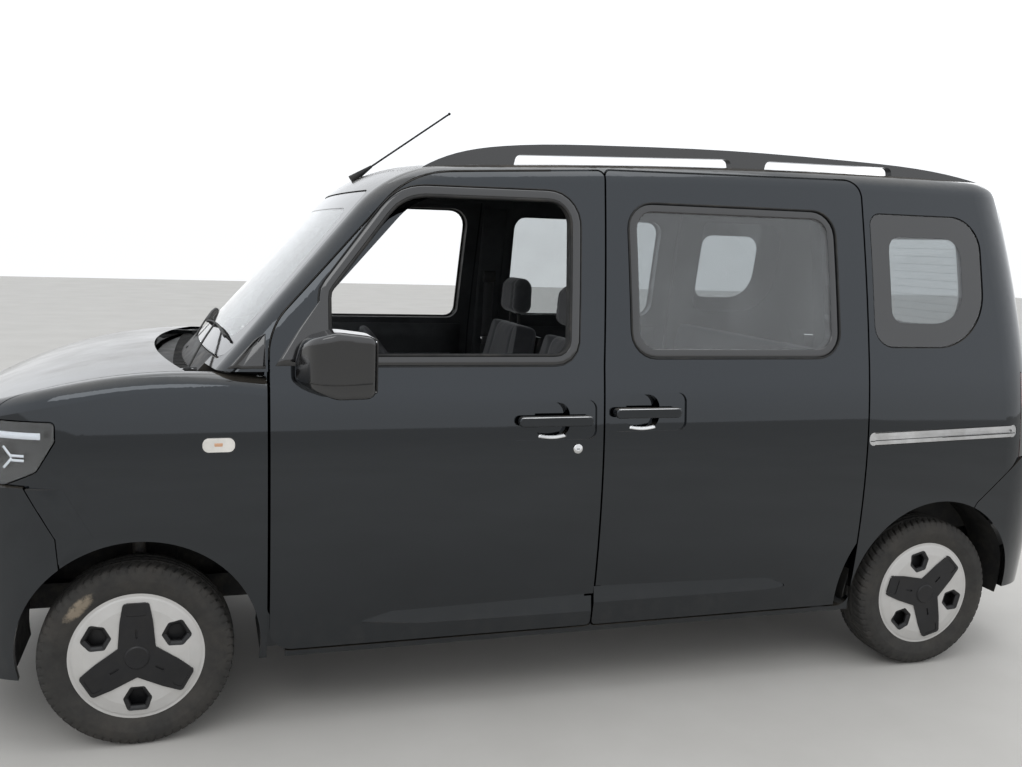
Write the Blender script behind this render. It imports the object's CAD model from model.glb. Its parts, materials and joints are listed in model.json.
import json
import math
import bmesh
import bpy
import numpy as np
from mathutils import Matrix, Vector
from mathutils.bvhtree import BVHTree


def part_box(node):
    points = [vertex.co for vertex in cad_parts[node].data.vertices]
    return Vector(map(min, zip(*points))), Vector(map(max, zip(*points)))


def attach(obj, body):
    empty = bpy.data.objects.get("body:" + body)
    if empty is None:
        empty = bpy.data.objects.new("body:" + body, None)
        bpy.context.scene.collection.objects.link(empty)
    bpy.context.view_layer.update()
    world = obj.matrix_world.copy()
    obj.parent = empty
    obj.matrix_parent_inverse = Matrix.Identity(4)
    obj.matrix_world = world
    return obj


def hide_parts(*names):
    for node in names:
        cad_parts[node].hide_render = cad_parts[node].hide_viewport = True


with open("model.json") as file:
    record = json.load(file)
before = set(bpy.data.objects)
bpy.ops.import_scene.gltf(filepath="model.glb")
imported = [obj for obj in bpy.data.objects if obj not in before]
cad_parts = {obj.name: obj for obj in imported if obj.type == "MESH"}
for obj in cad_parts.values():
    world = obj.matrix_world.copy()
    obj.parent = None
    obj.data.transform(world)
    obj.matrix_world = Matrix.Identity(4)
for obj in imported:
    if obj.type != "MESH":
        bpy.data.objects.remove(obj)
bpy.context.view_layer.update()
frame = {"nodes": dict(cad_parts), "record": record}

nodes = frame["nodes"]
scene = bpy.context.scene

# Metres. Stations are given behind the front axle and moved into the row frame by place().
FRONT_AXLE = -1.3875
HALF_WIDTH = 0.835
WAIST, BELT, ROOF_EDGE, SILL = 0.8, 1.15, 1.735, 0.245
SILL_TUCK, BELT_TUCK, ROOF_TUCK = 0.055, 0.029, 0.151
TYRE_RADIUS = 0.282
ARCH_X, ARCH_Z, ARCH_RADIUS = 0.01, 0.302, 0.348
NOSE_X, BUMPER_CROWN = -2.0275, 1.64
SIDES = (("left", -1), ("right", 1))
# Rays on to the car start this far from its middle, beside it and beyond its ends
BESIDE, BEYOND = 1.5, 2.6


def place(x, y, z):
    """A point from its station behind the front axle."""
    return Vector((x + FRONT_AXLE, y, z))


# Materials
class Tree:
    """A shader node tree; each method adds nodes and gives back their output."""

    def __init__(self, tree):
        self.tree = tree

    def fill(self, target, inputs):
        """Sets or links the inputs of a node; an underscore stands for a space."""
        for key, value in inputs.items():
            socket = target.inputs[key.replace("_", " ")]
            if isinstance(value, bpy.types.NodeSocket):
                self.tree.links.new(value, socket)
            else:
                socket.default_value = value

    def add(self, kind, **inputs):
        """A new node with its inputs filled."""
        made = self.tree.nodes.new("ShaderNode" + kind)
        self.fill(made, inputs)
        return made

    def coordinates(self, scale=(1, 1, 1)):
        """Object coordinates, scaled."""
        source = self.add("TexCoord").outputs["Object"]
        return self.add("Mapping", Scale=scale, Vector=source).outputs["Vector"]

    def noise(self, scale, detail=4.0, roughness=0.55, stretch=(1, 1, 1)):
        """A noise texture in object space."""
        vector = self.coordinates(stretch)
        made = self.add("TexNoise", Scale=scale, Detail=detail, Roughness=roughness, Vector=vector)
        return made.outputs["Fac"]

    def part(self, axis, kind="TexCoord", output="Object"):
        """One component of the object coordinates, or of another vector."""
        return self.add("SeparateXYZ", Vector=self.add(kind).outputs[output]).outputs[axis]

    def ramp(self, source, *stops):
        """A colour ramp over a value; stops are (position, colour), where one number is a grey."""
        made = self.add("ValToRGB", Fac=source)
        elements = made.color_ramp.elements
        while len(elements) < len(stops):
            elements.new(0.5)
        for element, (position, colour) in zip(elements, stops):
            element.position = position
            element.color = (*(colour if isinstance(colour, tuple) else (colour,) * 3), 1)
        return made.outputs["Color"]

    def mix(self, factor, first, second):
        """Blend of two colours; each is an output or three numbers."""
        made = self.add("Mix")
        made.data_type = "RGBA"
        self.fill(made, {"Factor": factor})
        for name, value in (("A", first), ("B", second)):
            socket = next(s for s in made.inputs if s.name == name and s.type == "RGBA")
            if isinstance(value, tuple):
                socket.default_value = (*value, 1)
            else:
                self.tree.links.new(value, socket)
        return next(s for s in made.outputs if s.type == "RGBA")

    def maths(self, operation, first, second=None, clamp=False):
        """A math node over outputs or numbers."""
        made = self.add("Math")
        made.operation = operation
        made.use_clamp = clamp
        for socket, value in zip(made.inputs, (first, second)):
            if isinstance(value, (int, float)):
                socket.default_value = value
            elif value is not None:
                self.tree.links.new(value, socket)
        return made.outputs[0]

    def plus(self, first, second, clamp=False):
        """Sum of two values."""
        return self.maths("ADD", first, second, clamp)

    def less(self, first, second, clamp=False):
        """First value less the second."""
        return self.maths("SUBTRACT", first, second, clamp)

    def times(self, first, second, clamp=False):
        """Product of two values."""
        return self.maths("MULTIPLY", first, second, clamp)

    def bump(self, height, strength, distance=0.0005):
        """A bump from a height output."""
        return self.add("Bump", Strength=strength, Distance=distance, Height=height).outputs["Normal"]


class Look(Tree):
    """The node tree of a new material, with its Principled shader."""

    def __init__(self, name):
        self.material = bpy.data.materials.new(name)
        self.material.use_nodes = True
        super().__init__(self.material.node_tree)
        self.shader = self.tree.nodes["Principled BSDF"]

    def put(self, **inputs):
        """Sets or links inputs of the shader."""
        self.fill(self.shader, inputs)


def scaled(colour, factor):
    """A colour made lighter or darker, up to white."""
    return tuple(min(channel * factor, 1.0) for channel in colour)


def paint(name, base, dust=0.5):
    """Gloss black lacquer with a thin film of dust on what faces up and dried splashes low down."""
    look = Look(name)
    facing = look.times(look.less(look.part("Z", "NewGeometry", "Normal"), 0.45), 1.5, clamp=True)
    patches = look.ramp(look.noise(3.2, 6.0), (0.35, 0.25), (0.75, 1.0))
    specks = look.ramp(look.noise(160.0, 3.0), (0.56, 0.0), (0.74, 1.0))
    low = look.times(look.less(0.46, look.part("Z")), 2.4, clamp=True)
    splash = look.ramp(look.noise(26.0, 8.0, 0.7, (1, 1, 0.6)), (0.48, 0.0), (0.72, 1.0))
    film = look.times(look.times(facing, patches), dust)
    film = look.plus(film, look.times(look.times(low, splash), 0.08))
    film = look.plus(film, look.times(specks, 0.012), clamp=True)
    look.put(Base_Color=look.mix(film, base, (0.27, 0.24, 0.2)), Specular_Tint=(0.83, 0.91, 1.0, 1),
             Roughness=look.plus(look.times(film, 0.55), 0.035, clamp=True), Specular_IOR_Level=0.6,
             Coat_Weight=look.less(0.34, film, clamp=True), Coat_Roughness=0.01, Coat_IOR=1.5,
             Coat_Normal=look.bump(look.noise(240.0, 2.0), 0.02))
    return look.material


def plain(name, base, roughness, grain=900.0, strength=0.25, metallic=0.0, variation=0.25, coat=0.0, dust=0.0,
          specular=0.5):
    """Moulded or cast surface with fine grain, uneven tone and some dust."""
    look = Look(name)
    low, high = tuple(channel * (1 - variation) for channel in base), scaled(base, 1 + variation)
    colour = look.ramp(look.noise(9.0, 8.0, 0.6), (0.3, low), (0.7, high))
    if dust:
        film = look.ramp(look.noise(14.0, 8.0, 0.7), (0.45, 0.0), (0.75, dust))
        colour = look.mix(film, colour, (0.3, 0.26, 0.2))
    rough = look.ramp(look.noise(24.0, 6.0), (0.3, roughness * 0.85), (0.7, min(roughness * 1.15, 1.0)))
    look.put(Base_Color=colour, Roughness=rough, Normal=look.bump(look.noise(grain, 3.0), strength),
             Metallic=metallic, Coat_Weight=coat, Coat_Roughness=0.04, Specular_IOR_Level=specular)
    return look.material


def glass(name, tint, dust=0.05):
    """Thin pane: see-through with a tint, a surface gloss and a trace of dust."""
    look = Look(name)
    film = look.ramp(look.noise(5.0, 8.0, 0.65), (0.45, 0.0), (0.85, dust))
    look.put(Base_Color=look.mix(film, tint, (0.55, 0.53, 0.5)), Transmission_Weight=look.less(1.0, film),
             Roughness=look.times(film, 0.5), IOR=1.02, Specular_IOR_Level=1.0, Coat_Weight=1.0,
             Coat_Roughness=0.0, Coat_IOR=1.7)
    return look.material


def fabric(name, base, thread=520.0):
    """Woven cloth: two crossed thread waves, fuzz and slight wear."""
    look = Look(name)
    weave = look.times(*(
        look.add("TexWave", Scale=thread / 6.3, Distortion=0.6, Detail=2.0,
                 Vector=look.coordinates(stretch)).outputs["Fac"] for stretch in ((1, 0, 1), (0, 1, 1))))
    tone = look.plus(look.times(weave, 0.5), look.times(look.noise(18.0, 8.0), 0.6))
    height = look.plus(weave, look.times(look.noise(700.0, 3.0), 0.7))
    look.put(Base_Color=look.ramp(tone, (0.2, scaled(base, 0.65)), (0.75, scaled(base, 1.35))),
             Normal=look.bump(height, 0.6, 0.0008), Roughness=0.95, Sheen_Weight=0.25, Sheen_Roughness=0.5)
    return look.material


def rubber(name, splash=None):
    """Worn tyre rubber, dustier in patches; splash is the (x, z) of a patch of dried mud."""
    look = Look(name)
    tone = look.ramp(look.noise(30.0, 8.0, 0.65), (0.3, 0.018), (0.7, (0.034, 0.033, 0.031)))
    soil = look.ramp(look.noise(7.0, 8.0, 0.7), (0.45, 0.1), (0.66, 0.45), (0.8, 0.7))
    colour = look.mix(soil, tone, (0.066, 0.058, 0.049))
    if splash:
        behind, above = look.less(look.part("X"), splash[0]), look.less(look.part("Z"), splash[1])
        along, across = look.less(behind, above), look.plus(behind, above)
        reach = look.plus(*(look.maths("POWER", look.times(value, scale), 2.0)
                            for value, scale in ((along, 24.0), (across, 9.0))))
        torn = look.times(look.less(1.0, reach, clamp=True), look.noise(60.0, 8.0, 0.75))
        colour = look.mix(look.ramp(torn, (0.22, 0.0), (0.42, 0.8)), colour, (0.26, 0.215, 0.16))
    look.put(Base_Color=colour, Normal=look.bump(look.noise(1300.0, 3.0), 0.35), Roughness=0.8,
             Specular_IOR_Level=0.3)
    return look.material


def light_guide(name, colour, strength):
    """Milky plastic that glows a little."""
    look = Look(name)
    tone = look.ramp(look.noise(60.0), (0.3, scaled(colour, 0.9)), (0.7, colour))
    look.put(Base_Color=tone, Emission_Color=tone, Roughness=0.2, Emission_Strength=strength, Coat_Weight=1.0)
    return look.material


def tail_lens(name):
    """Deep red lens with a clear band for the indicator and reversing lamp, ribbed inside."""
    look = Look(name)
    red, clear = (0.085, 0.002, 0.003), (0.38, 0.33, 0.3)
    height = look.maths("DIVIDE", look.less(look.part("Z"), 0.8), 0.33)
    bands = look.ramp(height, (0.0, red), (0.22, red), (0.24, clear), (0.44, clear), (0.46, red), (1.0, red))
    ribs = look.maths("SINE", look.times(look.part("Z"), 900.0))
    shade = look.times(look.plus(look.times(ribs, 0.12), look.noise(30.0)), 0.35, clamp=True)
    look.put(Base_Color=look.mix(shade, bands, (0.01, 0.002, 0.002)), Normal=look.bump(ribs, 0.25, 0.0008),
             Roughness=0.18, Coat_Weight=0.8, Coat_Roughness=0.02, Specular_IOR_Level=0.3)
    return look.material


# The frame has materials of these names too, so the suffix that Blender adds is cut off the keys
MATERIALS = {made.name.partition(".")[0]: made for made in (
    paint("paint_black", (0.0008, 0.0009, 0.0012)),
    plain("body_black", (0.012, 0.012, 0.013), 0.5, 500.0, dust=0.2, specular=0.3),
    plain("black_plastic", (0.013, 0.013, 0.013), 0.6, 1100.0, 0.4, dust=0.08, specular=0.3),
    plain("gloss_black", (0.003, 0.003, 0.0035), 0.1, 300.0, 0.02, coat=0.6, specular=0.7),
    plain("dash_plastic", (0.02, 0.02, 0.022), 0.62, 1400.0, 0.5, specular=0.3),
    glass("glass_clear", (0.9, 0.94, 0.93), 0.1),
    glass("glass_tinted", (0.58, 0.61, 0.62)),
    glass("lamp_front", (0.72, 0.74, 0.76), 0.02),
    tail_lens("lamp_rear"),
    plain("lamp_clear", (0.6, 0.58, 0.54), 0.15, 400.0, 0.3, coat=1.0),
    plain("rail_silver", (0.52, 0.52, 0.52), 0.38, 700.0, 0.15, metallic=1.0, dust=0.2),
    plain("wheel_silver", (0.5, 0.49, 0.475), 0.42, 1200.0, 0.12, metallic=0.35, variation=0.05, dust=0.1),
    rubber("tyre_rubber"),
    fabric("seat_fabric", (0.05, 0.051, 0.056)),
    plain("case_metal", (0.2, 0.205, 0.21), 0.5, 300.0, 0.5, metallic=0.8, dust=0.4),
    plain("steel_black", (0.02, 0.02, 0.021), 0.55, 350.0, 0.5, dust=0.4),
    plain("cast_steel", (0.12, 0.105, 0.09), 0.65, 420.0, 0.8, metallic=0.6, dust=0.3),
)}
BLACK_PLASTIC, GLOSS_BLACK, PAINT, DASH_PLASTIC, TYRE_RUBBER, CLOTH = (
    MATERIALS[name] for name in ("black_plastic", "gloss_black", "paint_black", "dash_plastic", "tyre_rubber",
                                 "seat_fabric"))
WHEEL_BLACK = plain("wheel_black", (0.009, 0.009, 0.01), 0.42, 1200.0, 0.15, dust=0.02, specular=0.35)
MUDDY_TYRE = rubber("tyre_rubber_muddy", (-1.544, 0.446))
TRIM_GREY = plain("trim_grey", (0.028, 0.029, 0.031), 0.7, 1500.0, 0.5, specular=0.3)
HEADLINER = fabric("headliner", (0.22, 0.22, 0.215), 900.0)
CARPET = plain("carpet", (0.016, 0.016, 0.017), 1.0, 700.0, 1.0)
CHROME = plain("bright_metal", (0.68, 0.68, 0.68), 0.16, 300.0, 0.03, metallic=1.0)
MIRROR_GLASS = plain("mirror_face", (0.82, 0.83, 0.84), 0.02, 100.0, 0.0, metallic=1.0, variation=0.02)
LED_WHITE = light_guide("led_white", (0.86, 0.88, 0.92), 0.55)
AMBER = light_guide("amber", (0.55, 0.3, 0.17), 0.02)
CLEAR_RED = light_guide("clear_red", (0.17, 0.004, 0.004), 0.02)
SCREEN_GLASS = plain("screen_glass", (0.01, 0.011, 0.013), 0.08, 200.0, 0.02, coat=1.0)
WEBBING = fabric("webbing", (0.035, 0.035, 0.037), 1400.0)

for entry in frame["record"]["subparts"]:
    target = nodes[entry["node"]]
    target.data.materials.clear()
    target.data.materials.append(MATERIALS[entry["material_slot"]])


def repaint(name, material, test):
    """Gives a second material to the faces of a CAD node that pass a test of centre and normal."""
    target = nodes[name]
    target.data.materials.append(material)
    index = len(target.data.materials) - 1
    turn = target.matrix_world.to_3x3()
    for face in target.data.polygons:
        if test(target.matrix_world @ face.center, turn @ face.normal):
            face.material_index = index


# Shape helpers
def mesh_piece(name, vertices, faces, material, body, slot=None):
    """A smooth mesh object in the row frame that rides on a body."""
    data = bpy.data.meshes.new(name)
    data.from_pydata([tuple(v) for v in vertices], [], faces)
    data.update()
    shell = bmesh.new()
    shell.from_mesh(data)
    bmesh.ops.recalc_face_normals(shell, faces=shell.faces)
    return piece_of(name, shell, data, material, body, slot)


def piece_of(name, shell, data, material, body, slot):
    """The object made of a finished bmesh."""
    shell.to_mesh(data)
    shell.free()
    data.shade_smooth()
    data.materials.append(material)
    made = bpy.data.objects.new(name, data)
    scene.collection.objects.link(made)
    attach(made, body)
    return made


def grid_faces(rows, columns, closed_rows=False, closed_columns=False):
    """Quads over a grid of vertices given row by row, closed either way on request."""
    faces = []
    for row in range(rows if closed_rows else rows - 1):
        here, following = row * columns, (row + 1) % rows * columns
        for column in range(columns if closed_columns else columns - 1):
            after = (column + 1) % columns
            faces.append((here + column, here + after, following + after, following + column))
    return faces


def plate(name, top, bottom, rows, columns, material, body, slot=None):
    """A thin closed plate between two grids of points."""
    count, quads = rows * columns, grid_faces(rows, columns)
    rim = list(range(columns)) + [row * columns + columns - 1 for row in range(1, rows)]
    rim += [(rows - 1) * columns + column for column in range(columns - 2, -1, -1)]
    rim += [row * columns for row in range(rows - 2, 0, -1)]
    faces = quads + [tuple(count + index for index in quad) for quad in quads]
    faces += [(a, b, count + b, count + a) for a, b in zip(rim, rim[1:] + rim[:1])]
    return mesh_piece(name, top + bottom, faces, material, body, slot)


def tree_of(*names):
    """A search tree over CAD nodes, in the row frame."""
    vertices, faces = [], []
    for name in names:
        source = nodes[name]
        start = len(vertices)
        vertices += [source.matrix_world @ vertex.co for vertex in source.data.vertices]
        faces += [[start + index for index in face.vertices] for face in source.data.polygons]
    return BVHTree.FromPolygons(vertices, faces)


def side_hit(tree, x, z, sign, otherwise=None):
    """Where a line from one side first meets a search tree; else the point at a given half-width, or None."""
    hit = tree.ray_cast(place(x, sign * BESIDE, z), Vector((0, -sign, 0)))[0]
    return place(x, sign * otherwise, z) if hit is None and otherwise else hit


def end_hit(tree, y, z, end):
    """Point and normal where a line from the front (end -1) or back (end 1) first meets a search tree."""
    return tree.ray_cast(Vector((end * BEYOND, y, z)), Vector((-end, 0, 0)))[:2]


def raised_hit(tree, y, z, end, proud):
    """The same, with the point raised along the normal."""
    hit, normal = end_hit(tree, y, z, end)
    return hit + normal * proud, normal


def bowed(start, end, rise):
    """A line between two points, bowed by a rise in the middle."""
    return [start.lerp(end, share) + rise * math.sin(math.pi * share) for share in np.linspace(0, 1, 12)]


def smooth_step(value):
    """0 to 1 with soft ends."""
    value = np.clip(value, 0, 1)
    return value * value * (3 - 2 * value)


def wall_y(z):
    """Half-width of the body side at a height, as three arcs."""
    def arc(drop, tuck):
        return (drop**2 + tuck**2) / (2 * tuck)

    if z <= WAIST:
        radius = arc(WAIST - SILL, SILL_TUCK)
        return HALF_WIDTH - radius + math.sqrt(radius**2 - (z - WAIST) ** 2)
    radius = arc(BELT - WAIST, BELT_TUCK)
    if z <= BELT:
        return HALF_WIDTH - radius + math.sqrt(radius**2 - (z - WAIST) ** 2)
    slope = (BELT - WAIST) / (radius - BELT_TUCK)
    rise = ROOF_EDGE - BELT
    bend = (ROOF_TUCK - BELT_TUCK - slope * rise) / rise**2
    return HALF_WIDTH - BELT_TUCK - slope * (z - BELT) - bend * (z - BELT) ** 2


SKIN_TOLERANCE = 0.012
SKINS = {
    side: tree_of("body_sides", f"front_door_{side}", "sliding_doors", "fenders", "side_glass",
                  "front_bumper", "rear_bumper", "tail_lamps")
    for side, _ in SIDES
}


def on_side(x, z, side, proud=0.0):
    """Point on the body side, from the solids where they are met and else from the section."""
    sign = dict(SIDES)[side]
    expected = wall_y(z)
    hit = side_hit(SKINS[side], x, z, sign)
    met = hit is not None and abs(abs(hit.y) - expected) < SKIN_TOLERANCE
    reach = abs(hit.y) if met else expected
    return place(x, sign * (reach + proud), z)


def rounded(corners, spacing=0.02):
    """Closed path with rounded corners, from (a, b, radius), resampled evenly."""
    points = []
    for index, (a, b, radius) in enumerate(corners):
        here = Vector((a, b))
        before = (Vector(corners[index - 1][:2]) - here).normalized()
        after = (Vector(corners[(index + 1) % len(corners)][:2]) - here).normalized()
        half = before.angle(after) / 2
        if radius == 0 or half > 1.55:
            points.append(here)
            continue
        reach = radius / math.tan(half)
        centre = here + (before + after).normalized() * (radius / math.sin(half))
        start, end = here + before * reach, here + after * reach
        first = math.atan2(*(start - centre).yx)
        sweep = (math.atan2(*(end - centre).yx) - first + math.pi) % (2 * math.pi) - math.pi
        steps = max(3, int(abs(sweep) / 0.22))
        for step in range(steps + 1):
            angle = first + sweep * step / steps
            points.append(centre + radius * Vector((math.cos(angle), math.sin(angle))))
    return resample(points, spacing)


def resample(points, spacing):
    """The same closed path with even steps; it doesn't repeat its first point."""
    line = np.array([tuple(p) for p in points])
    line = np.vstack([line, line[:1]])
    lengths = np.linalg.norm(np.diff(line, axis=0), axis=1)
    line = line[np.concatenate([[True], lengths > 1e-9])]
    along = np.concatenate([[0], np.cumsum(lengths[lengths > 1e-9])])
    stations = np.linspace(0, along[-1], max(4, int(round(along[-1] / spacing))) + 1)
    return np.column_stack([np.interp(stations, along, line[:, i]) for i in range(line.shape[1])])[:-1]


def moved_out(path, amount):
    """A closed 2-D path offset outward along its normals."""
    ahead, behind = np.roll(path, -1, axis=0), np.roll(path, 1, axis=0)
    tangent = ahead - behind
    tangent /= np.linalg.norm(tangent, axis=1)[:, None]
    normal = np.column_stack([tangent[:, 1], -tangent[:, 0]])
    area = np.sum(path[:, 0] * ahead[:, 1] - ahead[:, 0] * path[:, 1])
    return path + normal * amount * (1 if area > 0 else -1)


def strip(name, centres, outs, profile, material, body="body", closed=False, slot=None):
    """A profile of (across, out) points swept along a path with one outward direction, or one a point."""
    count, width = len(centres), len(profile)
    if isinstance(outs, Vector):
        outs = [outs] * count
    vertices = []
    for index in range(count):
        ahead = centres[(index + 1) % count if closed else min(index + 1, count - 1)]
        behind = centres[(index - 1) % count if closed else max(index - 1, 0)]
        out = outs[index].normalized()
        across = (ahead - behind).normalized().cross(out).normalized()
        vertices += [centres[index] + across * a + out * b for a, b in profile]
    faces = grid_faces(count, width, closed, True)
    if not closed:
        faces += [tuple(range(width)), tuple(range((count - 1) * width, count * width))]
    return mesh_piece(name, vertices, faces, material, body, slot)


def dome(width, height, foot=0.002):
    """Section of a soft-edged strip, flat below and crowned above."""
    half = width / 2
    return [(-half, -foot), (half, -foot), (half, height * 0.55), (half * 0.72, height * 0.9), (0, height),
            (-half * 0.72, height * 0.9), (-half, height * 0.55)]


def bar(half, low, high, top=None):
    """Section with four corners, as wide above as below unless its upper half-width is given."""
    top = half if top is None else top
    return [(-half, low), (half, low), (top, high), (-top, high)]


def side_ring(name, path, side, width, height, slot, body):
    """A soft strip along a closed side-view path."""
    centres = [on_side(x, z, side) for x, z in path]
    lean = [Vector((0, dict(SIDES)[side], (wall_y(z - 0.01) - wall_y(z + 0.01)) / 0.02)) for _, z in path]
    return strip(name, centres, lean, dome(width, height), MATERIALS[slot], body, True, slot)


def ring_between(name, outer, inner, locate, body, rings):
    """A gloss black band between two closed paths with as many points, laid on a surface."""
    vertices = []
    for share in (ring / rings for ring in range(rings + 1)):
        vertices += [locate(*(a * (1 - share) + b * share)) for a, b in zip(outer, inner)]
    faces = grid_faces(rings + 1, len(outer), False, True)
    return mesh_piece(name, vertices, faces, GLOSS_BLACK, body, "gloss_black")


def matched(path, reference):
    """The closed path resampled so that it pairs with the reference by direction from the middle."""
    middle = reference.mean(axis=0)
    dense = resample(path, 0.002)
    angles = np.arctan2(dense[:, 1] - middle[1], dense[:, 0] - middle[0])
    wanted = np.arctan2(reference[:, 1] - middle[1], reference[:, 0] - middle[0])
    nearest = [np.argmin(np.abs((angles - angle + np.pi) % (2 * np.pi) - np.pi)) for angle in wanted]
    return dense[nearest]


def patch(name, corners, locate, thickness, out, material, body, rows=10, columns=8, slot=None):
    """A thin plate within a convex outline, laid on a surface row by row."""
    low, high = min(z for _, z in corners), max(z for _, z in corners)
    top = []
    for row in range(rows + 1):
        height = low + (high - low) * (0.002 + 0.996 * row / rows)
        crossings = []
        for (x, z), (other_x, other_z) in zip(corners, corners[1:] + corners[:1]):
            if (z - height) * (other_z - height) < 0:
                crossings.append(x + (other_x - x) * (height - z) / (other_z - z))
        start, end = min(crossings), max(crossings)
        top += [locate(start + (end - start) * column / columns, height) for column in range(columns + 1)]
    bottom = [vertex + out * thickness for vertex in top]
    return plate(name, top, bottom, rows + 1, columns + 1, material, body, slot)


def soft_box(name, first, second, radius, material, body="body", segments=3, slot=None, turn=None,
             origin=None):
    """A box with rounded edges, turned about its middle; corners count from an origin or the front axle."""
    first, second = Vector(first), Vector(second)
    middle = (first + second) / 2 + (place(0, 0, 0) if origin is None else origin)
    half = [abs(width) / 2 for width in second - first]
    shell = bmesh.new()
    bmesh.ops.create_cube(shell, size=2)
    for vertex in shell.verts:
        vertex.co = Vector((vertex.co[i] * half[i] for i in range(3)))
    bmesh.ops.bevel(shell, geom=shell.edges[:], offset=min(radius, min(half) * 0.95), segments=segments,
                    profile=0.5, affect="EDGES")
    for vertex in shell.verts:
        vertex.co = (turn @ vertex.co if turn else vertex.co) + middle
    return piece_of(name, shell, bpy.data.meshes.new(name), material, body, slot)


def lathe(name, centre, axis, profile, material, body="body", steps=48, slot=None):
    """A turned piece; the profile holds (radius, distance along the axis)."""
    axis = Vector(axis).normalized()
    first = axis.orthogonal().normalized()
    second = axis.cross(first)
    vertices, width = [], len(profile)
    for step in range(steps):
        angle = 2 * math.pi * step / steps
        out = first * math.cos(angle) + second * math.sin(angle)
        vertices += [Vector(centre) + out * r + axis * d for r, d in profile]
    faces = grid_faces(steps, width, True)
    faces += [tuple(step * width + end for step in range(steps)) for end in (0, width - 1)]
    return mesh_piece(name, vertices, faces, material, body, slot)


# Outside trim
REAR_TURN = 45.0
COVER_FACE = 0.786
FRONT_WINDOW = rounded([(0.559, 1.186, 0.015), (0.559, 1.378, 0.04), (0.792, 1.68, 0.15),
                        (1.35, 1.684, 0.075), (1.328, 1.186, 0.05)])
SLIDE_WINDOW = rounded([(1.553, 1.186, 0.08), (1.553, 1.68, 0.08), (2.328, 1.68, 0.08), (2.328, 1.186, 0.08)])
QUARTER_WINDOW = rounded([(2.485, 1.218, 0.075), (2.485, 1.686, 0.04), (2.953, 1.686, 0.12),
                          (2.953, 1.218, 0.2)])
QUARTER_CLEAR = rounded([(2.559, 1.302, 0.045), (2.559, 1.609, 0.045), (2.867, 1.609, 0.07),
                         (2.867, 1.302, 0.12)])
WINDSCREEN = rounded([(-0.735, 1.168, 0.06), (-0.602, 1.69, 0.06), (0.602, 1.69, 0.06), (0.735, 1.168, 0.06)])
SCREEN_CLEAR = rounded([(-0.668, 1.222, 0.07), (-0.56, 1.635, 0.08), (0.56, 1.635, 0.08),
                        (0.668, 1.222, 0.07)])
REAR_WINDOW = rounded([(-0.545, 1.18, 0.06), (-0.52, 1.65, 0.06), (0.52, 1.65, 0.06), (0.545, 1.18, 0.06)])
FRONT_DOOR = rounded([(0.385, 0.268, 0.07), (0.385, 1.265, 0.2), (0.824, 1.749, 0.3), (1.468, 1.786, 0.02),
                      (1.443, 1.15, 0), (1.443, 0.268, 0.015)], 0.015)
COVER_HOLE = rounded([(-0.02, 0.092, 0.008), (0.02, 0.092, 0.008), (0.042, 0.128, 0.012),
                      (0.028, 0.166, 0.01), (-0.028, 0.166, 0.01), (-0.042, 0.128, 0.012)], 0.004)
HOLE_SECTION = ((0.0004, 0.0), (-0.0006, 0.0012), (-0.0025, 0.0012), (-0.0115, 0.0065), (-0.013, 0.01),
                (-0.013, 0.018), (0.0004, 0.018))


def window_trim(side, sign):
    """Frame of the lowered front window, gaskets of the other panes and border of the quarter pane."""
    door = f"front_door_{side}"
    for name, path, out, width, height, slot, body in (
            ("window_frame", FRONT_WINDOW, 0.014, 0.03, 0.006, "gloss_black", door),
            ("window_lip", FRONT_WINDOW, -0.003, 0.01, 0.0075, "black_plastic", door),
            ("window_edge", FRONT_WINDOW, 0.0315, 0.004, 0.0045, "black_plastic", door),
            ("slide_gasket", SLIDE_WINDOW, -0.008, 0.03, 0.004, "gloss_black", "body"),
            ("slide_gasket_edge", SLIDE_WINDOW, 0.008, 0.006, 0.006, "black_plastic", "body"),
            ("quarter_gasket", QUARTER_WINDOW, 0.003, 0.009, 0.003, "black_plastic", "body")):
        side_ring(f"{name}_{side}", moved_out(path, out), side, width, height, slot, body)
    pane = tree_of("side_glass")

    def locate(x, z):
        return side_hit(pane, x, z, sign, wall_y(z) - 0.004) + Vector((0, sign * 0.0006, 0))

    outer = moved_out(QUARTER_WINDOW, -0.001)
    ring_between(f"quarter_border_{side}", outer, matched(QUARTER_CLEAR, outer), locate, "body", 5)


def pillar_plates(side, sign):
    """Black triangles ahead of the front window, on the door and at the foot of the screen pillar."""
    def locate(x, z):
        return on_side(x, z, side, 0.0006)

    for name, corners, thickness, body in (
            ("mirror_sail", [(0.4, 1.158), (0.548, 1.158), (0.548, 1.372), (0.47, 1.268)], 0.004,
             f"front_door_{side}"),
            ("pillar_plate", [(0.262, 1.15), (0.372, 1.15), (0.372, 1.252), (0.345, 1.24)], 0.003, "body")):
        patch(f"{name}_{side}", corners, locate, thickness, Vector((0, sign, 0)), GLOSS_BLACK, body,
              slot="gloss_black")


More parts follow.
